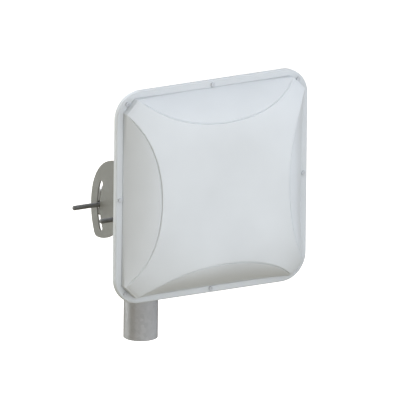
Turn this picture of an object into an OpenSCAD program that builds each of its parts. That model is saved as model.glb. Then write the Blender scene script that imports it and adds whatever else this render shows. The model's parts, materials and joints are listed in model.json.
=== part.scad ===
// Square flat-panel antenna on a mast clamp.
// The panel tilts on one leg of a U-bolt, and the clamp swivels on the mast.
// Millimetres. Origin: centre of the mast's lower end. +Z is up, and the panel faces -Y.

/* [Mast] */
// Outside diameter of the mast tube
mast_d = 42.4; // [42.4:0.1:42.8]
// Wall of the mast tube
mast_wall = 2.6; // [2:0.1:4]
// Length of the mast tube
mast_len = 250; // [230:5:270]

/* [Clamp] */
// Height of the clamp's centre above the mast's lower end
clamp_z = 165.5; // [150:0.5:175]
// Diameter of the U-bolt's rod
rod_d = 6; // [6:0.1:6.2]
// Distance between the two legs of the U-bolt
leg_gap = 66; // [66:1:68]
// How far the legs stand out beyond the tilt plate
leg_out = 35.5; // [20:0.5:45]
// Half length of the saddle's web
saddle_half = 46; // [42:1:50]
// Half height of the saddle
saddle_h = 18; // [16:1:20]
// Sheet thickness of the saddle
saddle_t = 2.5; // [2:0.5:3]

/* [Tilt bracket] */
// Outer face of the tilt plate, left of the mast's axis
ear_x = 42.5; // [42:0.5:46]
// Sheet thickness of the bracket
bracket_t = 2; // [2:0.5:2.5]
// Largest tilt either way, in degrees
tilt_limit = 25; // [10:1:25]
// Width of the arc slot
slot_w = 7; // [7:0.5:8]
// Radius of the plate's upper back corner
ear_r = 61.2; // [60.8:0.2:61.6]

/* [Panel] */
// Side of the square panel
panel_w = 270; // [268:1:274]
// Radius of the panel's corners
corner_r = 34; // [32:1:38]
// Depth of the rim, from the flange's front to its back edge
rim_depth = 7; // [7:0.5:10]
// Height of the middle of the panel
panel_z = 207; // [200:1:215]
// Middle of the panel, to the right of the mast
panel_x = 47; // [45:1:50]
// Front face of the flange, in front of the mast's axis
panel_y = 88; // [86:1:94]
// Thickness of the cover's flange and walls
shell_t = 2.4; // [2:0.1:2.5]
// Height of the cover's face above its flange
dome_h = 36.8; // [35:0.2:38]
// Half side of the raised part of the cover
dome_half = 126; // [125.5:0.1:126]

/* [Radiators] */
// Half distance between neighbouring patches
patch_pitch = 62; // [58:1:64]
// Side of a driven patch
driven_w = 58; // [50:1:60]
// Side of a parasitic patch
parasitic_w = 54; // [46:1:58]
// Width of the feed strips
strip_w = 5; // [3:0.5:6]

/* [Hidden] */
$fn = 96;
eps = 0.01;
body_gap = 0.3;
pivot_fit = 0.08;
hole_slack = 0.3;
screw_slack = 0.2;
close_slack = 0.1;

// Mast
mast_r = mast_d / 2;
cap_wall = 2;
cap_skirt = 16;
cap_top = 3;
cap_edge_r = 1.5;

// U-bolt: the bend is round, and closes on the right of the mast
rod_r = rod_d / 2;
leg_y = leg_gap / 2;
bend_x = mast_r + body_gap - (leg_y - rod_r);
tip_x = -ear_x - leg_out;
tip_chamfer = 0.8;
nut_h = 3.2;
nut_flats = 10;
washer_r = 5.5;
washer_t = 1.2;
// a thin nut on each leg, behind the tilt plate, pulls the saddle to the mast
inner_nut_x = -ear_x + bracket_t + body_gap;
// a full nut outside the plate holds the leg that the plate turns on
pivot_nut_h = 5;
pivot_washer_x = -ear_x - body_gap - washer_t;

// Saddle: a pressed channel whose two flanges have a toothed vee
saddle_x = inner_nut_x + nut_h + washer_t;
saddle_bend = 4;
vee_angle = 60;
vee_x = -(mast_r + body_gap) / sin(vee_angle);
saddle_front = -11;
saddle_nose = 32;
saddle_cheek = -30;
tooth = 1.8;
tooth_lift = 0.3;
tooth_step = 3;
tooth_count = 7;

// Tilt bracket: the plate's outline is drawn from the pivot's height, +y to the back
bend_r = 5;
base_h = 52;
base_top = panel_z + base_h / 2 - clamp_z;
base_bottom = base_top - base_h;
base_right = 45;
base_corner = 6;
bracket_bolt = [30, 18];
slot_r = leg_gap;
slot_end = tilt_limit + 0.5;
plate_rear = 6;
fold = -panel_y + plate_rear + bend_r;
// its back edge is a chain of four arcs, and each one runs into the next in the direction of its stop
back_at = [-10.7, 3.6];
back_stop = 15.3;
shoulder_r = 80.5;
shoulder_stop = -26.1;
heel_r = 8;
heel_stop = -90.5;
belly_r = 70.1;
shoulder_at = back_at + (ear_r - shoulder_r) * heading(back_stop);
heel_at = shoulder_at + (shoulder_r - heel_r) * heading(shoulder_stop);
belly_at = heel_at + (heel_r - belly_r) * heading(heel_stop);
// arcs that meet are this far into each other, and the slices that carry them overlap by this many degrees
join = 0.05;
lap = 10;
top_stop = 88;
inner_stop = 135;
// the straight lower edge leaves the fold's lower corner and grazes the last arc
graze_r = belly_r - 2 * join;
to_belly = belly_at - [fold, base_bottom];
lower_angle = atan2(to_belly[1], to_belly[0]) - asin(graze_r / norm(to_belly));

// Layers of the panel, as heights above the flange's front face
gasket_t = 1.6;
plate_t = 2;
flange_rear = -shell_t;
plate_front = -plate_rear + plate_t;
half_w = panel_w / 2;
rim_edge_r = 1;
lip_t = 2.2;
plate_gap = 0.2;
plate_half = half_w - lip_t - plate_gap;
plate_corner = corner_r - lip_t - plate_gap;

// Cover: a shallow dome, cut on each side by a wide round that rises from the flange
face_flat_r = 66;
face_r = 215;
side_r = 93.8;
side_c = [80.2, -48.6];
// the face stands a little proud of the sides, and four arcs bound it
face_step = 1;
arc_r = 203;
arc_mid = 89.5;
dome_vertex = 110;
screw_in = 5.5;
screw_corner_in = 14.4;
screw_edge = half_w - screw_in;
screw_corner = half_w - screw_corner_in;
SCREWS = concat(
    [for (s = [-1, 1], t = [-1, 1]) [s, t] * screw_corner],
    [for (a = [0:90:270]) [cos(a), sin(a)] * screw_edge]);
BOLTS = [for (s = [-1, 1], t = [-1, 1]) [s * bracket_bolt[0], t * bracket_bolt[1]]];
PATCHES = [for (s = [-1, 1], t = [-1, 1]) [s, t] * patch_pitch];

// Small screws and nuts
m3_r = 1.5;
m3_head_r = 2.8;
m3_head_h = 1.9;
m3_head_edge = 0.9;
m3_flats = 5.5;
insert_r = 2.6;
insert_h = 2.4;
screw_out = 0.4;
patch_screw_out = 0.6;
m5_r = 2.5;
m5_flats = 8;
m5_head_h = 3.5;
m5_nut_h = 4;
m5_washer_r = 5;
m5_washer_t = 1;
m5_out = 2;

// Patches and feed strips, stacked on the plate's front face
driven_gap = 10;
parasitic_gap = 12;
feed_a_gap = 3;
feed_b_gap = 6;
driven_z = plate_front + driven_gap;
parasitic_z = driven_z + parasitic_gap;
patch_t = 1;
post_r = 4;
strip_t = 0.8;
feed_a_z = plate_front + feed_a_gap;
feed_b_z = plate_front + feed_b_gap;
feed_reach = 45;
tail_a_x = 12;
tail_b_x = 48;
tail_b_y = -96;
port_y = -108;
pad_r = 3;
pad_at = 40;

// Sockets
PORTS = [[tail_a_x, port_y], [tail_b_x, port_y]];
port_square = 25.4;
port_corner = 2;
port_screw = 9.13;
port_gasket_t = 0.8;
port_flange_t = 3;
port_thread_r = 7.94;
port_thread_len = 11;
port_mouth_r = 5.6;
port_bore_r = 4.2;
port_pin_r = 1.5;
port_pin_out = 5.6;
port_insulator_in = 0.5;
port_head_r = 2.6;
port_head_edge = 0.6;
vent_at = [85, -112];
vent_r = 4;
vent_head_r = 7;
vent_head_h = 3;
vent_head_edge = 1;
vent_in = 1;

// Unit vector in a direction given in degrees
function heading(a) = [cos(a), sin(a)];

// ---------- frames ----------

// The panel's own frame: x right, y up, z out of the front, zero on the flange's front face
module on_panel() {
    translate([panel_x, -panel_y, panel_z]) rotate([90, 0, 0]) children();
}

// Draws in the plane of the tilt plate (y back, z up from the pivot's height), and extrudes to the right
module plate_plane(x, t) {
    translate([x, 0, clamp_z]) rotate([90, 0, 90]) linear_extrude(t) children();
}

// Lays a shape that stands on z = 0 along +X from one leg of the U-bolt
module on_leg(x, side) {
    translate([x, side * leg_y, clamp_z]) rotate([0, 90, 0]) children();
}

// ---------- shapes ----------

module ring(r_out, r_in, h) {
    difference() {
        cylinder(r = r_out, h = h);
        translate([0, 0, -1]) cylinder(r = r_in, h = h + 2);
    }
}

module hex_prism(flats, h) {
    cylinder(r = flats / 2 / cos(30), h = h, $fn = 6);
}

module nut(flats, r_in, h) {
    difference() {
        hex_prism(flats, h);
        translate([0, 0, -1]) cylinder(r = r_in, h = h + 2);
    }
}

// Slice of a disc between two directions
module slice(r, from, to) {
    intersection() {
        circle(r);
        polygon([[0, 0], 2 * r * heading(from), 2 * r * heading(to)]);
    }
}

module rounded_square(half, r) {
    square([2 * half, 2 * (half - r)], center = true);
    square([2 * (half - r), 2 * half], center = true);
    for (s = [-1, 1], t = [-1, 1]) translate([s, t] * (half - r)) circle(r);
}

// Half of a rectangle, from x = 0 to w, with its top outer corner rounded
module edge_profile(w, h, r) {
    square([w - r, h]);
    square([w, h - r]);
    translate([w - r, h - r]) circle(r);
}

// Square slab with round corners, whose top edge is rounded all the way round
module rolled_slab(half, r, h, edge) {
    for (s = [-1, 1], t = [-1, 1]) translate([s * (half - r), t * (half - r), 0])
        rotate_extrude() edge_profile(r, h, edge);
    for (a = [0, 90]) rotate([90, 0, a]) linear_extrude(2 * (half - r), center = true) {
        edge_profile(half, h, edge);
        mirror([1, 0]) edge_profile(half, h, edge);
    }
}

module screw_holes(places, r) {
    for (p = places) translate([p[0], p[1], -rim_depth - 1]) cylinder(r = r, h = rim_depth + 2);
}

// ---------- mast ----------

module mast_tube() {
    color("dimgray") ring(mast_r, mast_r - mast_wall, mast_len);
}

module mast_end_cap() {
    r = mast_r + cap_wall;
    color("#202020") translate([0, 0, mast_len - cap_skirt]) difference() {
        rotate_extrude() edge_profile(r, cap_skirt + cap_top, cap_edge_r);
        translate([0, 0, -1]) cylinder(r = mast_r, h = cap_skirt + 1);
    }
}

// ---------- clamp ----------

module u_bolt() {
    color("gray") {
        for (side = [-1, 1]) {
            on_leg(tip_x + tip_chamfer, side) cylinder(r = rod_r, h = bend_x - tip_x - tip_chamfer);
            on_leg(tip_x, side) cylinder(r1 = rod_r - tip_chamfer, r2 = rod_r, h = tip_chamfer);
        }
        translate([bend_x, 0, clamp_z]) rotate([0, 0, -90])
            rotate_extrude(angle = 180) translate([leg_y, 0]) circle(rod_r);
    }
}

// Cross-section of the channel: x to the mast, y up. It is longer than the flanges, which the plan trims
module saddle_section() {
    depth = saddle_front - saddle_x + 1;
    difference() {
        union() {
            translate([saddle_bend, -saddle_h]) square([depth - saddle_bend, 2 * saddle_h]);
            translate([0, saddle_bend - saddle_h]) square([depth, 2 * (saddle_h - saddle_bend)]);
            for (s = [-1, 1]) translate([saddle_bend, s * (saddle_h - saddle_bend)]) circle(saddle_bend);
        }
        translate([saddle_t, saddle_t - saddle_h]) square([depth, 2 * (saddle_h - saddle_t)]);
    }
}

// Outline of the flanges from above: a toothed vee between two sloping shoulders
module saddle_plan() {
    vee_depth = saddle_front - vee_x + 1;
    vee_half = vee_depth * tan(vee_angle);
    difference() {
        polygon([
            [saddle_x - 1, -saddle_half], [saddle_cheek, -saddle_half], [saddle_front, -saddle_nose],
            [saddle_front, saddle_nose], [saddle_cheek, saddle_half], [saddle_x - 1, saddle_half]]);
        polygon([[vee_x, 0], [vee_x + vee_depth, vee_half], [vee_x + vee_depth, -vee_half]]);
        for (s = [-1, 1], i = [1:tooth_count])
            translate([vee_x, 0]) rotate(s * vee_angle) translate([i * tooth_step, -s * tooth_lift])
                rotate(45) square(tooth, center = true);
    }
}

module clamp_saddle() {
    color("darkgray") difference() {
        intersection() {
            translate([saddle_x, 0, clamp_z]) rotate([90, 0, 0])
                linear_extrude(2 * saddle_half + 2, center = true) saddle_section();
            translate([0, 0, clamp_z - saddle_h - 1]) linear_extrude(2 * saddle_h + 2) saddle_plan();
        }
        for (side = [-1, 1]) on_leg(saddle_x - 1, side) cylinder(r = rod_r + hole_slack, h = saddle_t + 2);
    }
}

module clamp_washers() {
    color("gray") for (side = [-1, 1]) on_leg(saddle_x - washer_t, side)
        ring(washer_r, rod_r + screw_slack, washer_t);
}

module clamp_nuts() {
    color("gray") for (side = [-1, 1]) on_leg(inner_nut_x, side) nut(nut_flats, rod_r, nut_h);
}

module pivot_washer() {
    color("gray") on_leg(pivot_washer_x, -1) ring(washer_r, rod_r + screw_slack, washer_t);
}

module pivot_nut() {
    color("gray") on_leg(pivot_washer_x - pivot_nut_h, -1) nut(nut_flats, rod_r, pivot_nut_h);
}

// ---------- tilt bracket ----------

// Arc slot centred on the pivot
module arc_slot() {
    translate([-leg_y, 0]) {
        difference() {
            slice(slot_r + slot_w / 2, -slot_end, slot_end);
            circle(slot_r - slot_w / 2);
        }
        for (s = [-1, 1]) rotate(s * slot_end) translate([slot_r, 0]) circle(slot_w / 2 + join);
    }
}

module ear_outline() {
    belly_stop = lower_angle - 90;
    translate(back_at) slice(ear_r, back_stop - lap, top_stop + lap);
    translate(shoulder_at) slice(shoulder_r - join, shoulder_stop, back_stop);
    translate(heel_at) circle(heel_r + join);
    translate(belly_at) slice(belly_r - join, belly_stop - lap, heel_stop);
    polygon([
        [fold, base_bottom], belly_at + graze_r * heading(belly_stop),
        heel_at + heel_r / 4 * heading(inner_stop),
        back_at + ear_r / 2 * heading(back_stop - lap / 2), back_at + (ear_r - join) * heading(top_stop),
        [fold, base_top]]);
}

module base_outline() {
    left = -ear_x + bend_r - panel_x;
    difference() {
        translate([left, -base_h / 2]) square([base_right - left - base_corner, base_h]);
        screw_dots();
    }
    difference() {
        translate([base_right - base_corner - eps, -base_h / 2 + base_corner])
            square([base_corner + eps, base_h - 2 * base_corner]);
        screw_dots();
    }
    for (s = [-1, 1]) translate([base_right - base_corner, s * (base_h / 2 - base_corner)])
        circle(base_corner);
}

module screw_dots() {
    for (p = BOLTS) translate(p) circle(m5_r + hole_slack);
}

module tilt_bracket() {
    color("#8d8c87") {
        difference() {
            plate_plane(-ear_x, bracket_t) ear_outline();
            plate_plane(-ear_x - 1, bracket_t + 2) arc_slot();
            on_leg(-ear_x - 1, -1) cylinder(r = rod_r + pivot_fit, h = bracket_t + 2);
        }
        // the fold
        intersection() {
            translate([bend_r - ear_x, fold, clamp_z + base_bottom])
                ring(bend_r, bend_r - bracket_t, base_h);
            translate([-ear_x, fold - bend_r, clamp_z + base_bottom]) cube([bend_r, bend_r, base_h]);
        }
        on_panel() translate([0, 0, -plate_rear - bracket_t]) linear_extrude(bracket_t) base_outline();
    }
}

module bracket_bolts() {
    shank = plate_t + bracket_t + m5_washer_t + m5_nut_h + m5_out;
    color("silver") on_panel() for (p = BOLTS) translate([p[0], p[1], plate_front]) {
        hex_prism(m5_flats, m5_head_h);
        translate([0, 0, -shank]) cylinder(r = m5_r, h = shank);
    }
}

module bracket_washers() {
    z = -plate_rear - bracket_t - m5_washer_t;
    color("silver") on_panel() for (p = BOLTS) translate([p[0], p[1], z])
        ring(m5_washer_r, m5_r + screw_slack, m5_washer_t);
}

module bracket_nuts() {
    z = -plate_rear - bracket_t - m5_washer_t - m5_nut_h;
    color("silver") on_panel() for (p = BOLTS) translate([p[0], p[1], z]) nut(m5_flats, m5_r, m5_nut_h);
}

// ---------- case ----------

module dome_footprint(inset) {
    h = dome_half - inset;
    v = dome_vertex - inset * (sqrt(2) - 1);
    polygon([[v, h], [h, v], [h, -v], [v, -h], [-v, -h], [-h, -v], [-h, v], [-v, h]]);
}

// Profile that is turned to make the face: flat in the middle, then an arc that falls to the corners
module face_profile(inset, base) {
    translate([0, base]) square([face_flat_r, dome_h - inset - base]);
    intersection() {
        translate([face_flat_r, dome_h - face_r]) circle(face_r - inset);
        translate([face_flat_r - eps, base]) square([2 * dome_half - face_flat_r, dome_h - base]);
    }
}

// Profile that is pushed across the panel to make two opposite sides
module side_profile(inset, base) {
    c = dome_half - side_c[0];
    top = side_c[1] + side_r - inset;
    translate([-c - eps, base]) square([2 * (c + eps), top - base]);
    for (m = [0, 1]) mirror([m, 0]) intersection() {
        translate([c, side_c[1]]) circle(side_r - inset);
        translate([c, base]) square([dome_half - c, top - base]);
    }
}

// Star that the four arcs leave of the face
module face_star() {
    difference() {
        dome_footprint(0);
        for (a = [0:90:270]) rotate(a) translate([arc_mid + arc_r, 0]) circle(arc_r);
    }
}

module dome_sides(inset, base) {
    intersection() {
        translate([0, 0, base]) linear_extrude(dome_h - base) dome_footprint(inset);
        rotate_extrude() face_profile(inset + face_step, base);
        rotate([90, 0, 0]) linear_extrude(2 * half_w, center = true) side_profile(inset, base);
        rotate([90, 0, 90]) linear_extrude(2 * half_w, center = true) side_profile(inset, base);
    }
}

module dome_face(base) {
    intersection() {
        translate([0, 0, base]) linear_extrude(dome_h - base + 1) face_star();
        rotate_extrude() face_profile(0, base);
    }
}

module radome_cover() {
    color("#d6dbde") on_panel() difference() {
        union() {
            translate([0, 0, -rim_depth]) rolled_slab(half_w, corner_r, rim_depth, rim_edge_r);
            dome_sides(0, flange_rear);
            dome_face(flange_rear);
        }
        dome_sides(shell_t, -2 * rim_depth);
        translate([0, 0, flange_rear - rim_depth]) linear_extrude(rim_depth)
            rounded_square(half_w - lip_t, corner_r - lip_t);
        screw_holes(SCREWS, m3_r + screw_slack);
    }
}

module radome_gasket() {
    color("#2a2a2a") on_panel() difference() {
        translate([0, 0, plate_front]) linear_extrude(gasket_t) difference() {
            rounded_square(plate_half, plate_corner);
            dome_footprint(shell_t);
        }
        screw_holes(SCREWS, m3_r + screw_slack);
    }
}

module back_plate() {
    color("silver") on_panel() difference() {
        translate([0, 0, -plate_rear]) linear_extrude(plate_t) rounded_square(plate_half, plate_corner);
        screw_holes(SCREWS, m3_r + screw_slack);
        screw_holes(PATCHES, m3_r + screw_slack);
        screw_holes(BOLTS, m5_r + hole_slack);
        screw_holes(PORTS, port_bore_r + hole_slack);
        for (p = PORTS) translate([p[0], p[1], 0]) screw_holes(port_corners(), m3_r + close_slack);
        screw_holes([vent_at], vent_r);
    }
}

module radome_screws() {
    shank = plate_rear + insert_h + screw_out;
    color("gainsboro") on_panel() for (p = SCREWS) translate([p[0], p[1], 0]) {
        rotate_extrude() edge_profile(m3_head_r, m3_head_h, m3_head_edge);
        translate([0, 0, -shank]) cylinder(r = m3_r, h = shank);
    }
}

module radome_inserts() {
    color("silver") on_panel() for (p = SCREWS) translate([p[0], p[1], -plate_rear - insert_h])
        ring(insert_r, m3_r, insert_h);
}

// ---------- radiators ----------

module patch_posts() {
    color("ivory") on_panel() for (p = PATCHES) translate([p[0], p[1], plate_front])
        ring(post_r, m3_r + close_slack, driven_z - plate_front);
}

module patches(side, z) {
    for (p = PATCHES) translate([p[0], p[1], z]) linear_extrude(patch_t) difference() {
        square(side, center = true);
        circle(m3_r + close_slack);
    }
}

module driven_patches() {
    color("goldenrod") on_panel() patches(driven_w, driven_z);
}

module upper_spacers() {
    h = parasitic_z - driven_z - patch_t;
    color("ivory") on_panel() for (p = PATCHES) translate([p[0], p[1], driven_z + patch_t])
        ring(post_r, m3_r + close_slack, h);
}

module parasitic_patches() {
    color("goldenrod") on_panel() patches(parasitic_w, parasitic_z);
}

module patch_screws() {
    top = parasitic_z + patch_t;
    shank = top + plate_rear + insert_h + patch_screw_out;
    color("silver") on_panel() for (p = PATCHES) translate([p[0], p[1], top]) {
        rotate_extrude() edge_profile(m3_head_r, m3_head_h, m3_head_edge);
        translate([0, 0, -shank]) cylinder(r = m3_r, h = shank);
    }
}

module patch_nuts() {
    color("silver") on_panel() for (p = PATCHES) translate([p[0], p[1], -plate_rear - insert_h])
        nut(m3_flats, m3_r, insert_h);
}

// A straight strip from one point to another, along x or along y, with square ends
module strip(from, to, z) {
    low = [min(from[0], to[0]), min(from[1], to[1])] - [1, 1] * strip_w / 2;
    high = [max(from[0], to[0]), max(from[1], to[1])] + [1, 1] * strip_w / 2;
    translate([low[0], low[1], z]) cube([high[0] - low[0], high[1] - low[1], strip_t]);
}

module feed_network_a() {
    color("peru") on_panel() {
        strip([-patch_pitch, 0], [patch_pitch, 0], feed_a_z);
        for (s = [-1, 1]) strip([s * patch_pitch, -feed_reach], [s * patch_pitch, feed_reach], feed_a_z);
        strip([tail_a_x, 0], [tail_a_x, port_y], feed_a_z);
    }
}

module feed_network_b() {
    color("peru") on_panel() {
        strip([0, tail_b_y], [0, patch_pitch], feed_b_z);
        for (s = [-1, 1]) strip([-feed_reach, s * patch_pitch], [feed_reach, s * patch_pitch], feed_b_z);
        strip([0, tail_b_y], [tail_b_x, tail_b_y], feed_b_z);
        strip([tail_b_x, tail_b_y], [tail_b_x, port_y], feed_b_z);
    }
}

module feed_spacers() {
    color("ivory") on_panel() for (s = [-1, 1]) {
        translate([s * pad_at, 0, plate_front]) cylinder(r = pad_r, h = feed_a_z - plate_front);
        translate([0, s * pad_at, plate_front]) cylinder(r = pad_r, h = feed_b_z - plate_front);
    }
}

// ---------- sockets ----------

function port_corners() = [for (s = [-1, 1], t = [-1, 1]) [s, t] * port_screw];

module port_sheet(r_in) {
    difference() {
        rounded_square(port_square / 2, port_corner);
        circle(r_in);
        for (c = port_corners()) translate(c) circle(m3_r + close_slack);
    }
}

module at_ports(z) {
    on_panel() for (p = PORTS) translate([p[0], p[1], z]) children();
}

module rf_connectors() {
    z = -plate_rear - port_gasket_t - port_flange_t;
    color("silver") at_ports(z) {
        linear_extrude(port_flange_t) port_sheet(port_bore_r);
        translate([0, 0, -port_thread_len]) ring(port_thread_r, port_mouth_r, port_thread_len);
    }
}

module connector_gaskets() {
    color("#2a2a2a") at_ports(-plate_rear - port_gasket_t) linear_extrude(port_gasket_t)
        port_sheet(port_bore_r + hole_slack);
}

module connector_insulators() {
    z = -plate_rear - port_gasket_t - port_flange_t;
    color("white") at_ports(z) ring(port_bore_r, port_pin_r, plate_front + port_insulator_in - z);
}

module connector_pins() {
    z = -plate_rear - port_gasket_t - port_flange_t - port_pin_out;
    tops = [feed_a_z, feed_b_z];
    color("gold") on_panel() for (i = [0, 1]) translate([PORTS[i][0], PORTS[i][1], z])
        cylinder(r = port_pin_r, h = tops[i] - z);
}

module connector_screws() {
    z = -plate_rear - port_gasket_t - port_flange_t;
    color("silver") at_ports(z) for (c = port_corners()) translate(c) {
        cylinder(r = m3_r, h = plate_front - z);
        mirror([0, 0, 1]) rotate_extrude() edge_profile(port_head_r, m3_head_h, port_head_edge);
    }
}

module vent_plug() {
    color("#333333") on_panel() translate([vent_at[0], vent_at[1], -plate_rear]) {
        mirror([0, 0, 1]) rotate_extrude() edge_profile(vent_head_r, vent_head_h, vent_head_edge);
        cylinder(r = vent_r, h = plate_t + vent_in);
    }
}

mast_tube();
mast_end_cap();
u_bolt();
clamp_saddle();
clamp_washers();
clamp_nuts();
pivot_washer();
pivot_nut();
tilt_bracket();
bracket_bolts();
bracket_washers();
bracket_nuts();
back_plate();
radome_gasket();
radome_cover();
radome_screws();
radome_inserts();
patch_posts();
driven_patches();
upper_spacers();
parasitic_patches();
patch_screws();
patch_nuts();
feed_network_a();
feed_network_b();
feed_spacers();
rf_connectors();
connector_gaskets();
connector_insulators();
connector_pins();
connector_screws();
vent_plug();
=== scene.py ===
import json
import math

import bmesh
import bpy
import numpy as np
from mathutils import Matrix, Vector


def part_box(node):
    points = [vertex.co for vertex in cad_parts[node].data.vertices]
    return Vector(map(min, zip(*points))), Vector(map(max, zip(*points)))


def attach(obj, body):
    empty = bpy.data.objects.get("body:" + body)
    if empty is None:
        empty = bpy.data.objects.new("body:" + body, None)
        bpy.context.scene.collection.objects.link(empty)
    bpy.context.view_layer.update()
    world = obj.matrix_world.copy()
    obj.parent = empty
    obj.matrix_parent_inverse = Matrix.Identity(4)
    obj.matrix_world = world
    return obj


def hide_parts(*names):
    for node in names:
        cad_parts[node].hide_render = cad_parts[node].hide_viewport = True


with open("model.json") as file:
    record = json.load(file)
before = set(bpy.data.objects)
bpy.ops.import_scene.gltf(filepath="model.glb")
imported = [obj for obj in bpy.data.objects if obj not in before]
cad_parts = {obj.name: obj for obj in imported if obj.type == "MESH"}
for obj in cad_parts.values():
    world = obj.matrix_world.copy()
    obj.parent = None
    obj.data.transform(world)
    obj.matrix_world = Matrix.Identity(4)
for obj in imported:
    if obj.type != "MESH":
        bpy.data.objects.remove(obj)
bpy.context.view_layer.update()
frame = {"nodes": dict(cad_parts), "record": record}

# Flat panel antenna on a mast clamp. Metres, +Z up. The antenna faces -Y, and the origin is the middle of the
# mast's lower end. Shapes are worked out in millimetres and scaled once, when a mesh is made.

MM = 0.001
NODES = frame["nodes"]


def box_mm(node):
    """A CAD node's lowest and highest corner, in millimetres."""
    low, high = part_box(node)
    return np.array(low) / MM, np.array(high) / MM


# ---------- places, read from the frame ----------

COVER_LOW, COVER_HIGH = box_mm("radome_cover")
GASKET_LOW = box_mm("radome_gasket")[0]
PLATE_LOW, PLATE_HIGH = box_mm("back_plate")
BRACKET_LOW, BRACKET_HIGH = box_mm("tilt_bracket")
MAST_LOW, MAST_HIGH = box_mm("mast_tube")
BOLT_LOW, BOLT_HIGH = box_mm("u_bolt")
SADDLE_LOW, SADDLE_HIGH = box_mm("clamp_saddle")

FLANGE_T = 2.4
PANEL = np.array([(COVER_LOW[0] + COVER_HIGH[0]) / 2, GASKET_LOW[1] - FLANGE_T,
                  (COVER_LOW[2] + COVER_HIGH[2]) / 2])
PLATE_REAR = PLATE_HIGH[1] - PANEL[1]
CLAMP_Z = (BOLT_LOW[2] + BOLT_HIGH[2]) / 2
ROD_R = (BOLT_HIGH[2] - BOLT_LOW[2]) / 2
LEG_Y = BOLT_HIGH[1] - ROD_R
EAR_X = BRACKET_LOW[0]
CORNERS = [(sx, sy) for sx in (-1, 1) for sy in (-1, 1)]


# ---------- camera ----------

AZIMUTH = math.radians(-30.3)
ELEVATION = math.radians(16.0)
ROLL = math.radians(0.62)
VIEW_WIDTH = 0.4888
# the panel's middle stands this far right of and above the picture's middle
FRAMING = (0.0143, 0.0166)
CAMERA_AWAY = 3.0
CLIP_END = 20.0


def make_camera():
    back = Vector((math.sin(AZIMUTH) * math.cos(ELEVATION), -math.cos(AZIMUTH) * math.cos(ELEVATION),
                   math.sin(ELEVATION)))
    data = bpy.data.cameras.new("camera")
    data.type = "ORTHO"
    data.ortho_scale = VIEW_WIDTH
    data.clip_end = CLIP_END
    cam = bpy.data.objects.new("camera", data)
    bpy.context.scene.collection.objects.link(cam)
    turn = (-back).to_track_quat("-Z", "Y").to_matrix() @ Matrix.Rotation(ROLL, 3, "Z")
    right, up = turn.col[0], turn.col[1]
    target = Vector(PANEL * MM) - right * FRAMING[0] - up * FRAMING[1]
    cam.matrix_world = Matrix.Translation(target + back * CAMERA_AWAY) @ turn.to_4x4()
    bpy.context.scene.camera = cam


make_camera()


# ---------- mesh helpers ----------

def link(name, mesh):
    obj = bpy.data.objects.new(name, mesh)
    bpy.context.scene.collection.objects.link(obj)
    return obj


def smooth(mesh, angle=35.0):
    mesh.polygons.foreach_set("use_smooth", np.ones(len(mesh.polygons), bool))
    mesh.set_sharp_from_angle(angle=math.radians(angle))
    mesh.update()


def skin(rows, closed=False, first_pole=False, last_pole=False):
    """Vertices and quads over rows of points that all run round the same way. Each row closes on itself."""
    rows = [np.asarray(r, float) for r in rows]
    width = len(rows[0])
    verts = np.concatenate(rows)
    faces = []
    count = len(rows)
    for i in range(count if closed else count - 1):
        a, b = i * width, ((i + 1) % count) * width
        for j in range(width):
            k = (j + 1) % width
            faces.append((a + j, a + k, b + k, b + j))
    extra = []
    if first_pole:
        extra.append(rows[0].mean(0))
        pole = len(verts)
        faces += [(pole, (j + 1) % width, j) for j in range(width)]
    if last_pole:
        extra.append(rows[-1].mean(0))
        pole = len(verts) + len(extra) - 1
        base = (count - 1) * width
        faces += [(pole, base + j, base + (j + 1) % width) for j in range(width)]
    if extra:
        verts = np.concatenate([verts, np.array(extra)])
    return verts, faces


def mesh_object(name, parts, angle=35.0):
    """One object from several (vertices in mm, faces)."""
    verts, faces, start = [], [], 0
    for v, f in parts:
        verts.append(v)
        faces += [tuple(start + i for i in face) for face in f]
        start += len(v)
    mesh = bpy.data.meshes.new(name)
    mesh.from_pydata((np.concatenate(verts) * MM).tolist(), [], faces)
    bm = bmesh.new()
    bm.from_mesh(mesh)
    bmesh.ops.remove_doubles(bm, verts=bm.verts, dist=1e-7)
    bmesh.ops.recalc_face_normals(bm, faces=bm.faces)
    bm.to_mesh(mesh)
    bm.free()
    smooth(mesh, angle)
    return link(name, mesh)


def along(direction):
    """Rotation that turns local z to the direction."""
    return np.array(Vector(direction).to_track_quat("Z", "Y").to_matrix())


def placed(part, at, direction=(0, 0, 1), turn=0.0):
    v, f = part
    c, s = math.cos(turn), math.sin(turn)
    spun = v @ np.array([[c, s, 0], [-s, c, 0], [0, 0, 1]])
    return spun @ along(direction).T + np.asarray(at, float), f


def ring_rows(profile, segments=64, radius=None):
    """Rows of a turned shape. profile is [(r, z)], and radius(r, angles) may reshape a row."""
    a = np.arange(segments) * 2 * math.pi / segments
    rows = []
    for r, z in profile:
        rr = np.full(segments, float(r)) if radius is None else radius(r, z, a)
        rows.append(np.stack([rr * np.cos(a), rr * np.sin(a), np.full(segments, float(z))], 1))
    return rows


def turned_ring(profile, segments=64):
    """A closed ring, such as a washer or a tube."""
    return skin(ring_rows(profile, segments), closed=True)


def chamfered_ring(r_out, r_in, height, cut):
    return [(r_in, cut), (r_in + cut, 0), (r_out - cut, 0), (r_out, cut),
            (r_out, height - cut), (r_out - cut, height), (r_in + cut, height), (r_in, height - cut)]


def washer(r_out, r_in, height, cut=0.2):
    return turned_ring(chamfered_ring(r_out, r_in, height, cut))


HEX_CHAMFER = math.tan(math.radians(30))
HEX_FACE = 0.95
HEX_SEGMENTS = 72
NUT_LEAD = 0.4


def hex_radius(flats, a):
    return flats / 2 / np.cos((a + math.pi / 6) % (math.pi / 3) - math.pi / 6)


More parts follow.
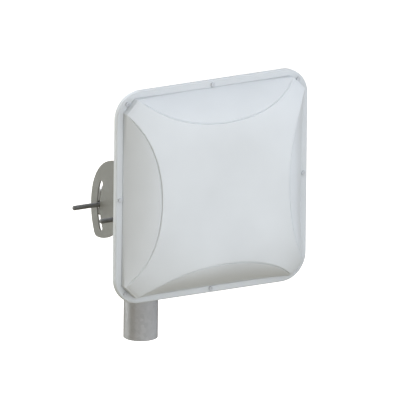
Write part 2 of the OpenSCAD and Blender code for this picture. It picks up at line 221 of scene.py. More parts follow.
def hex_block(flats, height, bore=0.0):
    """A hexagon with coned corners. With a bore it is a nut, and without one a bolt's head."""
    a = np.arange(HEX_SEGMENTS) * 2 * math.pi / HEX_SEGMENTS
    edge = hex_radius(flats, a)
    face = flats / 2 * HEX_FACE
    drop = (edge - face) * HEX_CHAMFER

    def row(r, z):
        r = np.broadcast_to(r, a.shape)
        z = np.broadcast_to(z, a.shape)
        return np.stack([r * np.cos(a), r * np.sin(a), z], 1)

    low = drop if bore else np.zeros_like(a)
    rows = [row(edge, low + 0.01), row(edge, (height - drop + low) / 2), row(edge, height - drop)]
    rows.append(row(face, height))
    if bore:
        wide = bore + NUT_LEAD
        rows += [row(wide, height), row(bore, height - NUT_LEAD), row(bore, NUT_LEAD), row(wide, 0)]
        rows.append(row(face, 0))
        return skin(rows, closed=True)
    rows.append(row(face * 0.5, height))
    return skin([row(face * 0.5, 0), row(face, 0)] + rows, first_pole=True, last_pole=True)


def thread_radius(r, depth, pitch, start, stop):
    """Radius function of a right-hand thread between two heights, with run-outs of one pitch."""
    def radius(_, z, a):
        turn = (z / pitch - a / (2 * math.pi)) % 1.0
        ridge = np.abs(2 * turn - 1)
        run = np.clip(min((z - start) / pitch, (stop - z) / pitch), 0, 1)
        return r - depth * (1 - ridge) * run
    return radius


# cross recess of a screw head: its depth, the slant of its flanks, and its arms in parts of the head's radius
RECESS_DEEP = 0.6
RECESS_FLANK = 0.18
RECESS_ARM = 0.36
RECESS_HALF_W = 0.11
# where the head's rounded edge ends, in parts of the way from its side to its middle
PAN_EDGE_RISE = 0.3
PAN_EDGE_RUN = 0.35
PAN_SEGMENTS = 64


def cross_recess(x, y, r):
    """How deep a cross recess goes at points of a head of radius r."""
    arm, half_w = r * RECESS_ARM, r * RECESS_HALF_W
    inside = np.maximum(np.minimum(arm - np.abs(x), half_w - np.abs(y)),
                        np.minimum(arm - np.abs(y), half_w - np.abs(x)))
    return np.clip(inside / RECESS_FLANK + 0.5, 0, 1) * RECESS_DEEP


def pan_head(r, height):
    """Screw head with an upright side, a rounded edge, a flat top and a cross recess."""
    quarter = math.pi / 2
    rows = ring_rows([(r, t * height * 0.5) for t in (0.0, 0.55, 1.0)], PAN_SEGMENTS)
    flat_r = r * math.cos(PAN_EDGE_RUN * quarter)
    for t in np.linspace(0.06, 1.0, 20)[:-1]:
        if t < PAN_EDGE_RUN:
            row_r = r * math.cos(t * quarter)
        else:
            row_r = flat_r * (1 - (t - PAN_EDGE_RUN) / (1 - PAN_EDGE_RUN))
        z = height * (0.5 + 0.5 * math.sin(min(t / PAN_EDGE_RISE, 1.0) * quarter))
        row = ring_rows([(row_r, z)], PAN_SEGMENTS)[0]
        row[:, 2] -= cross_recess(row[:, 0], row[:, 1], r)
        rows.append(row)
    return skin(rows, last_pole=True, first_pole=True)


def rod(r, z0, z1, cut=0.3, segments=24):
    profile = [(r - cut, z0), (r, z0 + cut), (r, z1 - cut), (r - cut, z1)]
    return skin(ring_rows(profile, segments), first_pole=True, last_pole=True)


ROWS_PER_TURN = 6


def threaded_rod(r, z0, z1, pitch, depth, segments=24):
    zs = np.arange(z0, z1 + 1e-6, pitch / ROWS_PER_TURN)
    reshape = thread_radius(r, depth, pitch, z0, z1 + pitch)
    rows = ring_rows([(r, z) for z in zs], segments, reshape)
    return skin(rows, first_pole=True, last_pole=True)


# ---------- sheet metal ----------

def heading(degrees):
    return np.array([math.cos(math.radians(degrees)), math.sin(math.radians(degrees))])


def arc(centre, r, start, stop, count):
    """Points on an arc, in degrees, both ends included."""
    a = np.radians(np.linspace(start, stop, count))
    return [(centre[0] + r * math.cos(x), centre[1] + r * math.sin(x)) for x in a]


def circle(centre, r, count=40):
    return arc(centre, r, 0, 360 - 360 / count, count)


def rounded_square(half, r, count=9):
    points = []
    for i, (sx, sy) in enumerate([(1, 1), (-1, 1), (-1, -1), (1, -1)]):
        points += arc((sx * (half - r), sy * (half - r)), r, 90 * i, 90 * i + 90, count)
    return points


def sheet(loops, thickness, edge=0.25):
    """Flat sheet in the xy plane, centred on z = 0, with softened edges. Loops after the first are holes."""
    data = bpy.data.curves.new("sheet", "CURVE")
    data.dimensions = "2D"
    data.fill_mode = "BOTH"
    data.extrude = (thickness / 2 - edge) * MM
    data.bevel_depth = edge * MM
    data.bevel_resolution = 1
    data.offset = -edge * MM
    for loop in loops:
        spline = data.splines.new("POLY")
        spline.points.add(len(loop) - 1)
        for p, (x, y) in zip(spline.points, loop):
            p.co = (x * MM, y * MM, 0, 1)
        spline.use_cyclic_u = True
    obj = link("sheet", data)
    bpy.context.view_layer.update()
    mesh = bpy.data.meshes.new_from_object(obj.evaluated_get(bpy.context.evaluated_depsgraph_get()))
    bpy.data.objects.remove(obj)
    bm = bmesh.new()
    bm.from_mesh(mesh)
    bmesh.ops.remove_doubles(bm, verts=bm.verts, dist=1e-6)
    return bm


def cut_across(bm, xs, axis=0):
    """Adds edges across a sheet, where it will bend."""
    normal = (1, 0, 0) if axis == 0 else (0, 1, 0)
    for x in xs:
        co = (x * MM, 0, 0) if axis == 0 else (0, x * MM, 0)
        geom = bm.verts[:] + bm.edges[:] + bm.faces[:]
        bmesh.ops.bisect_plane(bm, geom=geom, dist=1e-7, plane_co=co, plane_no=normal)


SHEET_CREASE = 50.0


def finish_sheet(bm, name, bend):
    """Moves each vertex of the flat sheet, in mm, to its bent place, and makes the object."""
    for v in bm.verts:
        v.co = Vector(bend(v.co.x / MM, v.co.y / MM, v.co.z / MM)) * MM
    bmesh.ops.recalc_face_normals(bm, faces=bm.faces)
    mesh = bpy.data.meshes.new(name)
    bm.to_mesh(mesh)
    bm.free()
    smooth(mesh, SHEET_CREASE)
    obj = link(name, mesh)
    weigh = obj.modifiers.new("weighted_normals", "WEIGHTED_NORMAL")
    weigh.keep_sharp = True
    return obj


# ---------- materials ----------

def shader(name, colour, rough, metal=0.0):
    mat = bpy.data.materials.new(name)
    mat.use_nodes = True
    nodes, links = mat.node_tree.nodes, mat.node_tree.links
    bsdf = nodes["Principled BSDF"]
    bsdf.inputs["Base Color"].default_value = (*colour, 1)
    bsdf.inputs["Roughness"].default_value = rough
    bsdf.inputs["Metallic"].default_value = metal
    bsdf.inputs["IOR"].default_value = 1.5
    where = nodes.new("ShaderNodeTexCoord")
    return mat, nodes, links, bsdf, where.outputs["Object"]


def noise(nodes, links, where, scale, detail=3.0, stretch=(1, 1, 1)):
    mapping = nodes.new("ShaderNodeMapping")
    mapping.inputs["Scale"].default_value = stretch
    links.new(where, mapping.inputs["Vector"])
    tex = nodes.new("ShaderNodeTexNoise")
    tex.inputs["Scale"].default_value = scale
    tex.inputs["Detail"].default_value = detail
    links.new(mapping.outputs["Vector"], tex.inputs["Vector"])
    return tex.outputs["Fac"]


def ramp(nodes, links, value, low, high, start=0.3, stop=0.7):
    node = nodes.new("ShaderNodeValToRGB")
    node.color_ramp.elements[0].position = start
    node.color_ramp.elements[0].color = (*low, 1)
    node.color_ramp.elements[1].position = stop
    node.color_ramp.elements[1].color = (*high, 1)
    links.new(value, node.inputs["Fac"])
    return node.outputs["Color"]


def spread(nodes, links, value, low, high, start=0.3, stop=0.7):
    node = nodes.new("ShaderNodeMapRange")
    node.inputs["From Min"].default_value = start
    node.inputs["From Max"].default_value = stop
    node.inputs["To Min"].default_value = low
    node.inputs["To Max"].default_value = high
    links.new(value, node.inputs["Value"])
    return node.outputs["Result"]


def bump(nodes, links, bsdf, value, height, strength=1.0):
    node = nodes.new("ShaderNodeBump")
    node.inputs["Strength"].default_value = strength
    node.inputs["Distance"].default_value = height
    links.new(value, node.inputs["Height"])
    links.new(node.outputs["Normal"], bsdf.inputs["Normal"])


def shade(colour, factor):
    return tuple(c * factor for c in colour)


def plastic(name, colour, rough, grain=1800.0, depth=0.00002, drift=0.03):
    """Moulded plastic: fine spark-eroded grain, and a slow drift in tone and gloss."""
    mat, nodes, links, bsdf, where = shader(name, colour, rough)
    slow = noise(nodes, links, where, 14.0, 2.0)
    links.new(ramp(nodes, links, slow, shade(colour, 1 - drift), shade(colour, 1 + drift)),
              bsdf.inputs["Base Color"])
    links.new(spread(nodes, links, noise(nodes, links, where, 45.0), rough - 0.05, rough + 0.07),
              bsdf.inputs["Roughness"])
    bump(nodes, links, bsdf, noise(nodes, links, where, grain, 2.0), depth, 0.35)
    return mat


# painted shade: how dark the flange's plastic is painted next to the dome's, and the band of heights that
# takes it
FLANGE_PAINTED_SHADE = 0.88
FLANGE_BAND = 0.4


def flange_painted_shade(mat):
    """Paints shade on the plastic: a shade darker within a narrow band of heights about the flange's front,
    so the flange looks less lit than the dome. It is the same plastic as the dome.
    """
    nodes, links = mat.node_tree.nodes, mat.node_tree.links
    base = nodes["Principled BSDF"].inputs["Base Color"]
    tone = base.links[0].from_socket
    where = nodes.new("ShaderNodeTexCoord")
    axes = nodes.new("ShaderNodeSeparateXYZ")
    links.new(where.outputs["Object"], axes.inputs["Vector"])
    band = nodes.new("ShaderNodeMath")
    band.operation = "COMPARE"
    band.inputs[1].default_value = PANEL[1] * MM
    band.inputs[2].default_value = FLANGE_BAND * MM
    links.new(axes.outputs["Y"], band.inputs[0])
    scale = nodes.new("ShaderNodeVectorMath")
    scale.operation = "SCALE"
    links.new(tone, scale.inputs["Vector"])
    links.new(spread(nodes, links, band.outputs["Value"], 1.0, FLANGE_PAINTED_SHADE, 0.0, 1.0), scale.inputs["Scale"])
    links.new(scale.outputs["Vector"], base)
    return mat


def metal(name, colour, rough, grain=300.0, stretch=(1, 1, 1), patch=60.0, drift=0.08, amount=1.0):
    """Metal with blotches of tone, and a grain that may be stretched into brushing."""
    mat, nodes, links, bsdf, where = shader(name, colour, rough, amount)
    blotch = noise(nodes, links, where, patch, 4.0)
    links.new(ramp(nodes, links, blotch, shade(colour, 1 - drift), shade(colour, 1 + drift)),
              bsdf.inputs["Base Color"])
    fine = noise(nodes, links, where, grain, 3.0, stretch)
    links.new(spread(nodes, links, fine, rough - 0.08, rough + 0.12), bsdf.inputs["Roughness"])
    bump(nodes, links, bsdf, fine, 0.00001, 0.4)
    return mat


def coated(name, colour, rough):
    """Powder-coated steel: a satin skin with a fine orange peel."""
    mat, nodes, links, bsdf, where = shader(name, colour, rough)
    slow = noise(nodes, links, where, 30.0, 3.0)
    links.new(ramp(nodes, links, slow, shade(colour, 0.94), shade(colour, 1.05)), bsdf.inputs["Base Color"])
    links.new(spread(nodes, links, noise(nodes, links, where, 160.0), rough - 0.06, rough + 0.08),
              bsdf.inputs["Roughness"])
    bump(nodes, links, bsdf, noise(nodes, links, where, 1100.0, 2.0), 0.00003, 0.5)
    return mat


def galvanised(name, colour, rough):
    """Hot-dip zinc: pale crystals of several sizes, which make the sheen mottled."""
    mat, nodes, links, bsdf, where = shader(name, colour, rough, 0.3)
    cells = nodes.new("ShaderNodeTexVoronoi")
    cells.inputs["Scale"].default_value = 210.0
    links.new(where, cells.inputs["Vector"])
    grey = nodes.new("ShaderNodeRGBToBW")
    links.new(cells.outputs["Color"], grey.inputs["Color"])
    links.new(ramp(nodes, links, grey.outputs["Val"], shade(colour, 0.93), shade(colour, 1.06), 0.1, 0.9),
              bsdf.inputs["Base Color"])
    cloud = noise(nodes, links, where, 120.0, 4.0)
    links.new(spread(nodes, links, cloud, rough - 0.12, rough + 0.16), bsdf.inputs["Roughness"])
    bump(nodes, links, bsdf, cloud, 0.00005, 0.5)
    return mat


MATERIALS = {
    # the cover's plastic carries painted shade on its flange
    "cover_plastic": flange_painted_shade(plastic("cover_plastic", (0.69, 0.725, 0.745), 0.42)),
    "mast_steel": galvanised("mast_steel", (0.43, 0.435, 0.44), 0.45),
    "bracket_steel": coated("bracket_steel", (0.282, 0.285, 0.262), 0.55),
    "rod_steel": metal("rod_steel", (0.21, 0.21, 0.205), 0.5, amount=0.6),
    "saddle_zinc": metal("saddle_zinc", (0.78, 0.78, 0.76), 0.45, amount=0.4),
    "zinc_steel": metal("zinc_steel", (0.62, 0.63, 0.64), 0.32),
    "plate_aluminium": metal("plate_aluminium", (0.62, 0.63, 0.64), 0.36, 900.0, (1, 1, 0.03), 8.0, 0.04),
    "seal_rubber": plastic("seal_rubber", (0.02, 0.02, 0.021), 0.7, 900.0, 0.00004, 0.1),
    "cover_screw_steel": metal("cover_screw_steel", (0.56, 0.58, 0.60), 0.4, amount=0.4),
    "nylon": plastic("nylon", (0.74, 0.72, 0.62), 0.45),
    "patch_brass": metal("patch_brass", (0.66, 0.49, 0.22), 0.33, 900.0, (0.03, 1, 1)),
    "nickel": metal("nickel", (0.62, 0.60, 0.55), 0.27),
    "ptfe": plastic("ptfe", (0.83, 0.83, 0.81), 0.38),
    "gold_brass": metal("gold_brass", (0.80, 0.58, 0.20), 0.25),
    "black_plastic": plastic("black_plastic", (0.025, 0.025, 0.027), 0.45, 1500.0, 0.00003, 0.15),
}
SLOT_OF = {part["node"]: part["material_slot"] for part in frame["record"]["subparts"]}
BODY_OF = {node: body for body, nodes in frame["record"]["behaviour"]["bodies"].items() for node in nodes}


def install(obj, *nodes):
    """Gives a piece the material and the body of the CAD nodes that it stands for."""
    obj.data.materials.clear()
    obj.data.materials.append(MATERIALS[SLOT_OF[nodes[0]]])
    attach(obj, BODY_OF[nodes[0]])
    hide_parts(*nodes)


def at_panel(points):
    """Panel coordinates (x right, y up, z out of the front) to the row frame."""
    p = np.asarray(points, float)
    return np.stack([PANEL[0] + p[:, 0], PANEL[1] - p[:, 2], PANEL[2] + p[:, 1]], 1)


OUT = (0, -1, 0)
REAR = (0, 1, 0)


def panel_point(x, y, z):
    return at_panel([(x, y, z)])[0]


# ---------- cover ----------

HALF = (COVER_HIGH[0] - COVER_LOW[0]) / 2
CORNER_R = 34.0
RIM_DEPTH = COVER_HIGH[1] - PANEL[1]
RIM_EDGE_R = 2.0
RIM_REAR_R = 0.4
# where a bend of the rim's rear edge has a row between its ends, in parts of its radius
REAR_MID = 0.3
LIP_T = 2.2
LIP_EASE = 0.6
# the dome's base line: a square with cut corners
DOME_HALF = 126.0
DOME_VERTEX = 110.0
VERTEX_R = 2.5
# the face: flat in the middle, then an arc, which drops faster at the four tips
FACE_H = PANEL[1] - COVER_LOW[1]
FACE_FLAT_R = 66.0
FACE_R = 215.0
CORNER_DROP = 3.0
DROP_START = 135.0
DROP_RUN = 32.0
# the face's edge: a small step that runs out at the tips, with a groove along its foot
FACE_STEP = 1.0
STEP_RUN_OUT = 8.0
GROOVE_W = 1.7
GROOVE_DEEP = 1.0
GROOVE_SHARE = 0.25
ARC_MID = 89.5
ARC_BEND = 21.4
# narrowest stretch of side between the face and the base line, and how softly the side's width nears it
NARROWEST = 1.3
NARROW_BLEND = 0.1
# rows over the face's edge: inset in parts of EDGE_SOFT, drop, and drop in parts of the step
EDGE_SOFT = 0.9
EDGE_ROWS = ((0.45, 0.04, 0.02), (0.18, 0.09, 0.12), (0.04, 0.12, 0.35), (0.0, 0.14, 0.8))
EDGE_FOOT = 0.16
# the sides: a low wall, higher at the corners, a round that starts on it, and a bulged slope up to the face
WALL_H = 1.2
WALL_H_CORNER = 8.2
WALL_ROUND = 1.2
FOOT_ROUND = 2.0
ROUND_SHARE = 0.45
SIDE_BULGE = 0.6
# the groove that parts the dome from the flange: inset from the base line, and height
SEAT_W = 0.6
SEAT_DEEP = 0.5
SEAT_CUT = 0.08
SEAT = ((0, -SEAT_DEEP), (-SEAT_W, -SEAT_DEEP), (-SEAT_W, -SEAT_CUT), (-SEAT_W - SEAT_CUT, 0))
# rows this close to a bend keep its shading off the flat beside it
HOLD = 0.35


def face_height(r):
    """Height of the face above the flange, at a distance r from its middle."""
    over = np.maximum(r - FACE_FLAT_R, 0)
    drop = CORNER_DROP * np.clip((r - DROP_START) / DROP_RUN, 0, 1) ** 2
    return FACE_H - (FACE_R - np.sqrt(FACE_R ** 2 - over ** 2)) - drop


def arc_at(s):
    """How far the face's edge is from the middle, at s along a side. It meets the dome's corner vertex."""
    u, corner = s / 100, DOME_VERTEX / 100
    fourth = (DOME_HALF - ARC_MID - ARC_BEND * corner ** 2) / corner ** 4
    return ARC_MID + ARC_BEND * u ** 2 + fourth * u ** 4


def cover_columns():
    """One quarter of the dome's base line: (base x, base y, normal x, normal y, inset of the face, s)."""
    diagonal = math.sqrt(0.5)
    straight = DOME_VERTEX - VERTEX_R * math.tan(math.radians(22.5))
    corner = (DOME_HALF - VERTEX_R, straight)
    chamfer_mid = (DOME_HALF + DOME_VERTEX) / 2
    end = (corner[0] + VERTEX_R * diagonal, corner[1] + VERTEX_R * diagonal)
    half = []
    for s in np.linspace(0, straight, 40):
        a = DOME_HALF - arc_at(s)
        inset = 0.5 * (a + NARROWEST + math.sqrt((a - NARROWEST) ** 2 + NARROW_BLEND))
        half.append((DOME_HALF, s, 1, 0, inset, s))
    for t in np.linspace(0, 45, 5)[1:]:
        c, n = math.cos(math.radians(t)), math.sin(math.radians(t))
        half.append((corner[0] + VERTEX_R * c, corner[1] + VERTEX_R * n, c, n, NARROWEST, DOME_VERTEX))
    for t in np.linspace(0, 1, 6)[1:]:
        x, y = (e + (chamfer_mid - e) * t for e in end)
        half.append((x, y, diagonal, diagonal, NARROWEST, DOME_VERTEX))
    lower = [(x, -y, nx, -ny, d, s) for x, y, nx, ny, d, s in half[:0:-1]]
    return np.array(lower + half[:-1])


def fade(x):
    x = np.clip(x, 0, 1)
    return x * x * (3 - 2 * x)


def cover_quarter():
    """Rows of one quarter, from the middle of the face out over the dome: a list of arrays (x, y, z)."""
    col = cover_columns()
    base, normal, inset, s = col[:, :2], col[:, 2:4], col[:, 4], np.abs(col[:, 5])

    def at(d, z):
        """The points at an inset d from the dome's base line and a height z."""
        p = base - normal * np.broadcast_to(d, s.shape)[:, None]
        return np.concatenate([p, np.broadcast_to(z, s.shape)[:, None]], 1)

    edge = base - normal * (inset + EDGE_SOFT)[:, None]
    rows = []
    for t in np.concatenate([np.linspace(0.04, 0.7, 12), np.linspace(0.74, 1.0, 12)]):
        p = edge * t
        rows.append(np.concatenate([p, face_height(np.hypot(p[:, 0], p[:, 1]))[:, None]], 1))
    tip = base - normal * inset[:, None]
    top = face_height(np.hypot(tip[:, 0], tip[:, 1]))
    step = FACE_STEP * fade((DOME_VERTEX - s) / STEP_RUN_OUT)
    rows += [at(inset + soft * EDGE_SOFT, top - drop - share * step) for soft, drop, share in EDGE_ROWS]
    side_top = top - EDGE_FOOT - step
    wall_h = WALL_H + (WALL_H_CORNER - WALL_H) * (s / DOME_VERTEX) ** 4
    round_w = np.minimum(FOOT_ROUND, inset * ROUND_SHARE)
    bulge = SIDE_BULGE * inset / (DOME_HALF - ARC_MID)

    def side(d):
        t = d / inset
        return wall_h + (side_top - wall_h) * (t + bulge * t * (1 - t))

    groove = np.minimum(GROOVE_W, inset * GROOVE_SHARE)
    deep = GROOVE_DEEP * step
    rows.append(at(inset - 0.15 * groove, side(inset) - deep))
    rows.append(at(inset - 0.55 * groove, side(inset - 0.55 * groove) - deep))
    for past in (1.0, 1.1):
        foot = inset - past * groove
        rows.append(at(foot, side(foot)))
    for t in np.linspace(1, 0, 13)[1:]:
        d = round_w + (foot - round_w) * t
        rows.append(at(d, side(d)))
    low = wall_h - np.minimum(WALL_ROUND, wall_h * ROUND_SHARE)
    for t in [0.8, 0.6, 0.4, 0.2, 0.0]:
        d = round_w * t * t
        z = side(round_w) * t * t + 2 * wall_h * t * (1 - t) + low * (1 - t) ** 2
        rows.append(at(d, z))
    rows += [at(0, low * 0.6), at(0, low * 0.3)]
    rows += [at(d, z) for d, z in SEAT]
    return col, rows


def rim_quarter(col):
    """Outer boundary points and normals of the flange that go with the dome's columns."""
    centre = HALF - CORNER_R
    x, y = col[:, 0], col[:, 1]
    beyond = np.abs(y) > centre
    angle = np.where(beyond, np.arctan2(np.abs(y) - centre, x - centre), 0)
    ox = centre + CORNER_R * np.cos(angle)
    oy = np.where(beyond, np.sign(y) * (centre + CORNER_R * np.sin(angle)), y)
    return np.stack([ox, oy], 1), np.stack([np.cos(angle), np.sign(y) * np.sin(angle)], 1)


def four_quarters(row):
    """A row of one quarter, turned to make the whole round."""
    turns = []
    for k in range(4):
        c, s = math.cos(k * math.pi / 2), math.sin(k * math.pi / 2)
        turns.append(np.stack([row[:, 0] * c - row[:, 1] * s, row[:, 0] * s + row[:, 1] * c, row[:, 2]], 1))
    return np.concatenate(turns)


def make_cover():
    """One closed shell: the dome, the flange, its rim turned back, and the inside of the case."""
    col, dome = cover_quarter()
    outer, out_normal = rim_quarter(col)

    def rim(inset, z):
        p = outer - out_normal * inset
        return np.concatenate([p, np.full((len(p), 1), z)], 1)

    seat = dome[-1]
    rows = list(dome)
    start = rim(RIM_EDGE_R, 0.0)
    hold = HOLD / np.linalg.norm(start - seat, axis=1)[:, None]
    for t in (hold, 0.33, 0.67, 1 - hold, 1.0):
        rows.append(seat + (start - seat) * t)
    for t in [15, 30, 45, 60, 75, 90]:
        a = math.radians(t)
        rows.append(rim(RIM_EDGE_R * (1 - math.sin(a)), -RIM_EDGE_R * (1 - math.cos(a))))
    small, mid = RIM_REAR_R, RIM_REAR_R * REAR_MID
    rear = [(0, -RIM_EDGE_R - HOLD), (0, small + HOLD - RIM_DEPTH), (0, small - RIM_DEPTH),
            (mid, mid - RIM_DEPTH), (small, -RIM_DEPTH), (LIP_T - small, -RIM_DEPTH),
            (LIP_T - mid, mid - RIM_DEPTH),
            (LIP_T, small - RIM_DEPTH), (LIP_T, -FLANGE_T - LIP_EASE), (LIP_T + LIP_EASE, -FLANGE_T)]
    rows += [rim(inset, z) for inset, z in rear]
    shrink = np.array([1 - FLANGE_T / DOME_HALF, 1 - FLANGE_T / DOME_HALF, 1])
    rows += [r * shrink - (0, 0, FLANGE_T) for r in dome[-len(SEAT) - 1::-1]]
    verts, faces = skin([four_quarters(r) for r in rows], first_pole=True, last_pole=True)
    cover = mesh_object("moulded_cover", [(at_panel(verts), faces)], 32)
    install(cover, "radome_cover")


make_cover()


# ---------- mast ----------

MAST_R = MAST_HIGH[0]
MAST_WALL = 2.6
# the weld seam: where it is, its half width, how flat it is outside, and how far its bead stands out inside
SEAM_AT = math.radians(70)
SEAM_HALF_W = 1.6
SEAM_FLAT = 0.12
SEAM_BEAD = 0.55


def make_mast():
    """Seam-welded tube: a faint flat along the seam outside, a bead inside, and both ends deburred."""
    length = MAST_HIGH[2] - MAST_LOW[2]
    inner = MAST_R - MAST_WALL
    cut = 0.45

    def radius(r, z, a):
        aside = np.angle(np.exp(1j * (a - SEAM_AT))) * MAST_R
        near = np.exp(-((aside / SEAM_HALF_W) ** 2))
        return r - (SEAM_FLAT if r > MAST_R - 1 else SEAM_BEAD) * near

    steps = np.linspace(cut, length - cut, 24)
    profile = [(MAST_R, z) for z in steps] + [(MAST_R - cut, length), (inner + cut, length)]
    profile += [(inner, z) for z in steps[::-1]] + [(inner + cut, 0), (MAST_R - cut, 0)]
    verts, faces = skin(ring_rows(profile, 128, radius), closed=True)
    verts[:, 2] += MAST_LOW[2]
    install(mesh_object("mast_section", [(verts, faces)], 30), "mast_tube")


CAP_TOP = 3.0
CAP_SEGMENTS = 96
# the round over the cap's edge, across and down, and the bead along its skirt
CAP_ROUND = (1.6, 2.1)
CAP_BEAD_H = 2.4


def make_cap():
    """Push-on cap: rounded edge, a beaded skirt, and a shallow dish in its top."""
    low, high = box_mm("mast_end_cap")
    r, height = high[0], high[2] - low[2]
    profile = [(MAST_R, 0.5), (MAST_R + 0.5, 0), (r - 0.6, 0), (r, 0.6), (r, CAP_BEAD_H),
               (r - 0.5, CAP_BEAD_H + 0.6), (r - 0.5, height - 2.2)]
    for t in (20, 45, 70, 90):
        across, up = heading(t)
        profile.append((r - 0.6 - CAP_ROUND[0] * (1 - across), height - 2.2 + CAP_ROUND[1] * up))
    profile += [(r - 5, height), (r - 6.2, height - 0.5), (r - 12, height - 0.6), (3, height - 0.6)]
    roof = height - CAP_TOP
    under = [(3, roof), (MAST_R - 1, roof), (MAST_R, roof - 1), (MAST_R, 0.5)]
    outside = skin(ring_rows(profile, CAP_SEGMENTS), last_pole=True)
    inside = skin(ring_rows(under, CAP_SEGMENTS), first_pole=True)
    parts = [(verts + [0, 0, low[2]], faces) for verts, faces in (outside, inside)]
    install(mesh_object("mast_cap_moulding", parts, 40), "mast_end_cap")


make_mast()
make_cap()


# ---------- clamp ----------

BEND_X = BOLT_HIGH[0] - LEG_Y - ROD_R
TIP_X = BOLT_LOW[0]
THREAD_LONG = 50.0
M6_PITCH = 1.0
M6_DEPTH = 0.2
M6_FLATS = 10.0
M6_ROWS_PER_TURN = 8
# cone at each tip of the rod: its length and how much smaller it starts
TIP_LEAD = 0.9
TIP_CUT = 0.75
WASHER_SLACK = 0.2


def make_u_bolt():
    """Rod swept along both legs and the bend, with a rolled thread from each tip."""
    segments = 32
    a = np.arange(segments) * 2 * math.pi / segments
    leg = BEND_X - TIP_X
    bend = math.pi * LEG_Y
    threaded = np.arange(0, THREAD_LONG, M6_PITCH / M6_ROWS_PER_TURN)
    plain = np.linspace(THREAD_LONG, leg, 8)
    first = np.concatenate([threaded, plain])
    total = 2 * leg + bend
    stations = np.concatenate([first, leg + bend * np.linspace(0, 1, 61)[1:-1], total - first[::-1]])
    rows = []

    def row(s, r):
        if s <= leg:
            at, radial = np.array([TIP_X + s, -LEG_Y, 0]), np.array([0, -1, 0])
        elif s >= leg + bend:
            at, radial = np.array([TIP_X + total - s, LEG_Y, 0]), np.array([0, 1, 0])
        else:
            turn = (s - leg) / LEG_Y - math.pi / 2
            radial = np.array([math.cos(turn), math.sin(turn), 0])
            at = np.array([BEND_X, 0, 0]) + LEG_Y * radial
        return at + (0, 0, CLAMP_Z) + np.outer(r * np.cos(a), radial) + np.outer(r * np.sin(a), (0, 0, 1))

    for s in stations:
        end = min(s, total - s)
        run = np.clip((THREAD_LONG - end) / (2 * M6_PITCH), 0, 1)
        phase = s / M6_PITCH + a / (2 * math.pi)
        ridge = np.abs(2 * (phase % 1.0) - 1)
        lead = np.clip(end / TIP_LEAD, 0, 1)
        r = ROD_R - M6_DEPTH * run * (1 - ridge)
        r = np.minimum(r, ROD_R - TIP_CUT * (1 - lead))
        rows.append(row(s, r))
    bolt = mesh_object("threaded_u_bolt", [skin(rows, first_pole=True, last_pole=True)], 60)
    install(bolt, "u_bolt")


def make_leg_fasteners(body, nut_node, washer_node, legs):
    """A nut and a washer on each leg of the U-bolt in legs, given as (side, the nut's turn)."""
    nut_low, nut_high = box_mm(nut_node)
    washer_low, washer_high = box_mm(washer_node)
    washer_r = washer_high[1] - legs[-1][0] * LEG_Y
    nuts, washers = [], []
    for side, turn in legs:
        nut = hex_block(M6_FLATS, nut_high[0] - nut_low[0], ROD_R)
        nuts.append(placed(nut, (nut_low[0], side * LEG_Y, CLAMP_Z), (1, 0, 0), turn))
        ring = washer(washer_r, ROD_R + WASHER_SLACK, washer_high[0] - washer_low[0])
        washers.append(placed(ring, (washer_low[0], side * LEG_Y, CLAMP_Z), (1, 0, 0)))
    more = "s" if len(legs) > 1 else ""
    install(mesh_object(f"{body}_hex_nut{more}", nuts, 25), nut_node)
    install(mesh_object(f"{body}_flat_washer{more}", washers, 25), washer_node)


SADDLE_T = 2.5
SADDLE_BEND = 4.0
VEE_ANGLE = math.radians(60)
VEE_GAP = 0.3
TOOTH_STEP = 3.0
TOOTH_DEPTH = 0.97
TOOTH_HALF = 0.97
TEETH = 7
# the flanges' cheeks lean in from the web's ends to the nose
CHEEK_X = -30.0
NOSE_Y = 32.0
SADDLE_HOLE_SLACK = 0.3


def make_saddle():
    """Pressed channel: a web with two holes, and two flanges with a toothed vee that grips the mast."""
    x0, x1 = SADDLE_LOW[0], SADDLE_HIGH[0]
    half_y, half_z = SADDLE_HIGH[1], (SADDLE_HIGH[2] - SADDLE_LOW[2]) / 2
    middle = SADDLE_BEND - SADDLE_T / 2
    flat = half_z - SADDLE_BEND
    curl = middle * math.pi / 2
    apex = -(MAST_R + VEE_GAP) / math.sin(VEE_ANGLE)
    along_vee = np.array([math.cos(VEE_ANGLE), math.sin(VEE_ANGLE)])
    across = np.array([-math.sin(VEE_ANGLE), math.cos(VEE_ANGLE)])

    def unroll(x):
        return flat + curl + x - (x0 + SADDLE_BEND)

    # one side of the flange's edge, from its outer end to the vee's apex
    edge = [(half_y, CHEEK_X), (NOSE_Y, x1)]
    reach = (x1 - apex) / math.cos(VEE_ANGLE)
    edge.append((reach * math.sin(VEE_ANGLE), x1))
    for i in range(TEETH, 0, -1):
        for offset, depth in ((TOOTH_HALF, 0), (0, TOOTH_DEPTH), (-TOOTH_HALF, 0)):
            p = along_vee * (i * TOOTH_STEP + offset) + across * depth
            edge.append((p[1], apex + p[0]))
    edge.append((0.0, apex))
    upper = edge + [(-y, x) for y, x in edge[-2::-1]]
    loop = [(y, unroll(x)) for y, x in upper]
    loop += [(-y, -v) for y, v in loop]
    holes = [circle((side * LEG_Y, 0), ROD_R + SADDLE_HOLE_SLACK) for side in (-1, 1)]
    bm = sheet([loop] + holes, SADDLE_T)
    for sign in (1, -1):
        cut_across(bm, [sign * (flat + curl * t) for t in np.linspace(0, 1, 7)], axis=1)

    def bend(y, v, n):
        """Sheet point (y, v) at n through its thickness, n positive inside the channel."""
        sign, w = (1, v) if v >= 0 else (-1, -v)
        if w <= flat:
            x, z = x0 + SADDLE_T / 2 + n, w
        elif w <= flat + curl:
            t = (w - flat) / middle
            r = middle - n
            x = x0 + SADDLE_BEND - r * math.cos(t)
            z = flat + r * math.sin(t)
        else:
            x, z = x0 + SADDLE_BEND + w - flat - curl, flat + middle - n
        return x, y, CLAMP_Z + sign * z

    install(finish_sheet(bm, "pressed_saddle", bend), "clamp_saddle")


